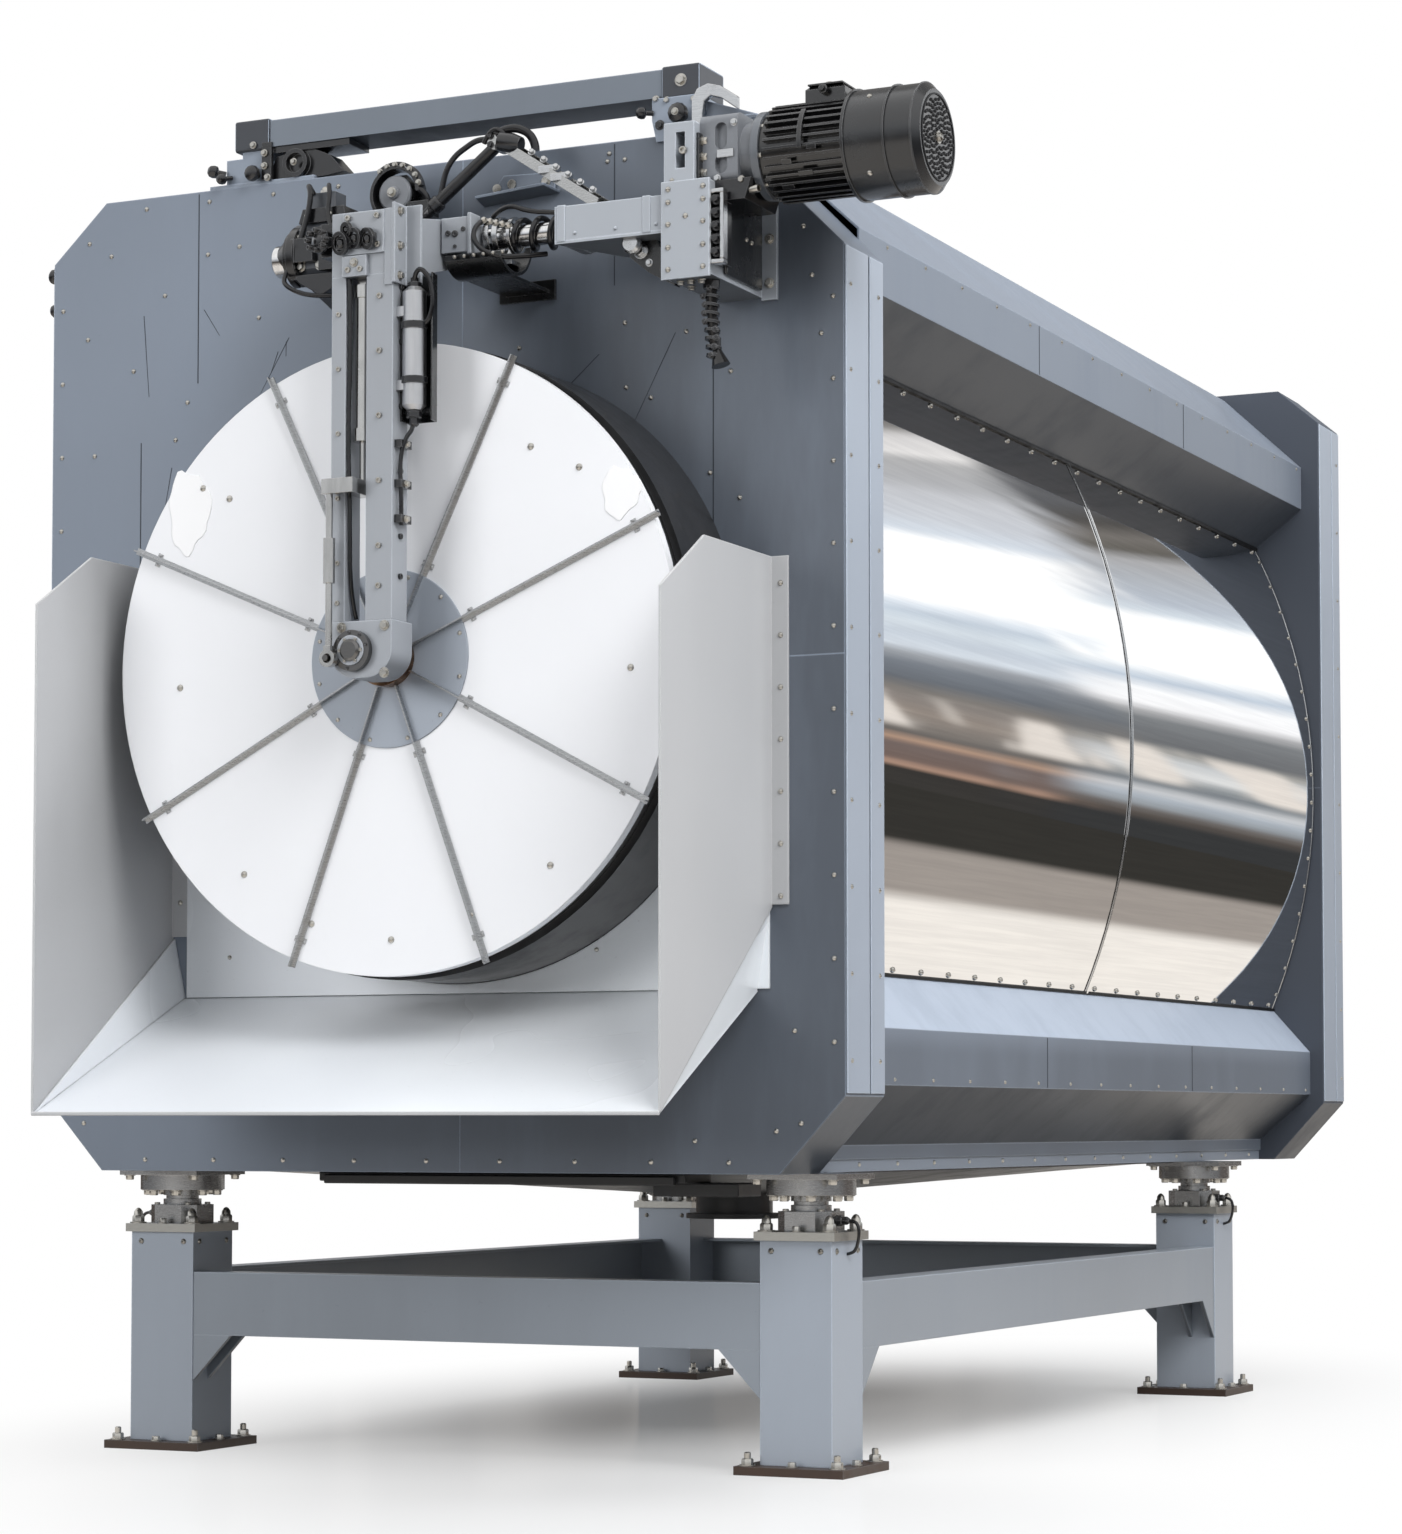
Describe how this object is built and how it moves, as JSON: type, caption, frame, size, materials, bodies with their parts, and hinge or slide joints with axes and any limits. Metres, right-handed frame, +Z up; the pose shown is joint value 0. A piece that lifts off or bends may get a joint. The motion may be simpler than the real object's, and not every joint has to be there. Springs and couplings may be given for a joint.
{
  "type": "rotary drum filter",
  "caption": "Horizontal rotary drum in a sheet casing on a weighed four-leg stand, with a swing-up front door on a motorised arm, an open chute below it and a flanged feed pipe behind.",
  "frame": {"origin": "on the floor, in the middle of the four legs", "axes": "+Z up, +Y from the discharge door to the feed end along the drum, +X to the right seen from the door"},
  "size_m": [2.162, 4.6218, 2.882],
  "materials": {
    "foot_steel": "dark satin paint",
    "stand_paint": "satin powder coat",
    "cap_steel": "satin plated steel",
    "cell_steel": "turned steel",
    "panel_paint": "satin powder coat",
    "frame_paint": "satin powder coat",
    "cover_paint": "satin powder coat",
    "skin_steel": "bright rolled stainless sheet",
    "trough_steel": "dark satin paint",
    "pipe_steel": "satin stainless",
    "seal_rubber": "matt black rubber",
    "drum_steel": "satin stainless",
    "ring_steel": "machined steel",
    "roller_steel": "machined steel",
    "cast_grey": "painted casting",
    "chute_paint": "satin powder coat",
    "bracket_dark": "dark satin paint",
    "bracket_steel": "satin plated steel",
    "conduit_black": "black sheathed tube",
    "housing_paint": "satin powder coat",
    "motor_grey": "painted casting",
    "motor_black": "black paint",
    "cowl_black": "black paint",
    "beam_paint": "satin powder coat",
    "arm_paint": "satin powder coat",
    "shaft_chrome": "hard chrome",
    "rod_steel": "ground steel",
    "crank_steel": "machined steel",
    "reservoir_alloy": "satin",
    "door_white": "satin light paint",
    "rib_steel": "satin stainless",
    "centre_grey": "matt grey paint",
    "hub_bronze": "oiled bronze",
    "fan_plastic": "moulded plastic"
  },
  "bodies": {
    "root": {"foot_plates": "foot_steel", "leg_columns": "stand_paint", "stand_beams": "stand_paint", "leg_cap_plates": "cap_steel", "load_cell_bases": "cell_steel", "load_cell_necks": "cell_steel", "load_cell_flanges": "cell_steel", "front_frame": "panel_paint", "rear_frame": "frame_paint", "rear_cover": "cover_paint", "casing_rails": "frame_paint", "roof_panel": "frame_paint", "side_cowls": "frame_paint", "side_skins": "skin_steel", "drain_pan": "trough_steel", "feed_pipe": "pipe_steel", "neck_seal": "seal_rubber", "roller_pedestals": "cast_grey", "drum_gearmotor": "motor_grey", "chute_wing_left": "chute_paint", "chute_wing_right": "chute_paint", "chute_floor": "chute_paint", "shaft_bearing_block": "cast_grey", "panel_brackets": "bracket_dark", "hose_stay": "bracket_steel", "conduit_tubes": "conduit_black", "gooseneck_sensor": "conduit_black", "shaft_housing": "housing_paint", "carrier_box": "housing_paint", "arm_gear_case": "motor_grey", "motor_flange": "bracket_steel", "arm_motor_body": "motor_black", "fan_cowl": "cowl_black", "top_beam": "beam_paint", "beam_brackets": "frame_paint"},
    "drum": {"drum_neck": "drum_steel", "drum_barrel": "drum_steel", "drum_staves": "drum_steel", "drum_lifters": "drum_steel", "riding_rings": "ring_steel", "drum_rear_head": "drum_steel"},
    "roller_left": {"roller_shaft_left": "roller_steel"},
    "roller_right": {"roller_shaft_right": "roller_steel"},
    "door_arm": {"arm_head": "arm_paint", "arm_struts": "arm_paint", "arm_hub_housing": "arm_paint", "arm_shaft_sleeve": "arm_paint", "arm_torque_shaft": "shaft_chrome", "clamp_cylinder": "rod_steel", "arm_reservoir": "reservoir_alloy", "arm_guard": "bracket_dark"},
    "clamp_rod": {"clamp_rod": "rod_steel"},
    "clamp_crank": {"clamp_crank": "crank_steel"},
    "spindle": {"door_spindle": "crank_steel"},
    "door": {"door_disc": "door_white", "door_seal": "seal_rubber", "door_ribs": "rib_steel", "door_centre_plate": "centre_grey", "door_hub": "hub_bronze"},
    "fan": {"motor_fan": "fan_plastic"}
  },
  "joints": [
    {"name": "arm_swing", "type": "hinge", "parent": "root", "child": "door_arm", "pos_m": [0.094, -1.718, 2.516], "axis": [-1, 0, 0], "range_deg": [0, 80]},
    {"name": "drum_spin", "type": "hinge", "parent": "root", "child": "drum", "pos_m": [0.08, 0, 1.652], "axis": [0, 1, 0], "continuous": true},
    {"name": "roller_left_spin", "type": "hinge", "parent": "root", "child": "roller_left", "pos_m": [-0.425, 0, 0.92852], "axis": [0, 1, 0], "continuous": true},
    {"name": "roller_right_spin", "type": "hinge", "parent": "root", "child": "roller_right", "pos_m": [0.585, 0, 0.92852], "axis": [0, 1, 0], "continuous": true},
    {"name": "clamp_slide", "type": "slide", "parent": "door_arm", "child": "spindle", "axis": [0, -1, 0], "range_m": [0, 0.01]},
    {"name": "crank_turn", "type": "hinge", "parent": "door_arm", "child": "clamp_crank", "pos_m": [0.08, -1.973, 1.652], "axis": [0, 1, 0], "range_deg": [0, 40.01]},
    {"name": "rod_lift", "type": "slide", "parent": "door_arm", "child": "clamp_rod", "axis": [0, 0, 1], "range_m": [0, 0.0315]},
    {"name": "door_spin", "type": "hinge", "parent": "spindle", "child": "door", "pos_m": [0.08, -1.833, 1.652], "axis": [0, 1, 0], "continuous": true},
    {"name": "motor_fan_spin", "type": "hinge", "parent": "root", "child": "fan", "pos_m": [1.1, -1.683, 2.628], "axis": [1, 0, 0], "continuous": true}
  ],
  "couplings": [
    {"joint": "roller_left_spin", "follows": "drum_spin", "ratio": -8.8},
    {"joint": "roller_right_spin", "follows": "drum_spin", "ratio": -8.8},
    {"joint": "crank_turn", "follows": "clamp_slide", "rad_per_m": 69.813},
    {"joint": "rod_lift", "follows": "clamp_slide", "ratio": 3.1466},
    {"joint": "motor_fan_spin", "follows": "arm_swing", "ratio": 24}
  ]
}
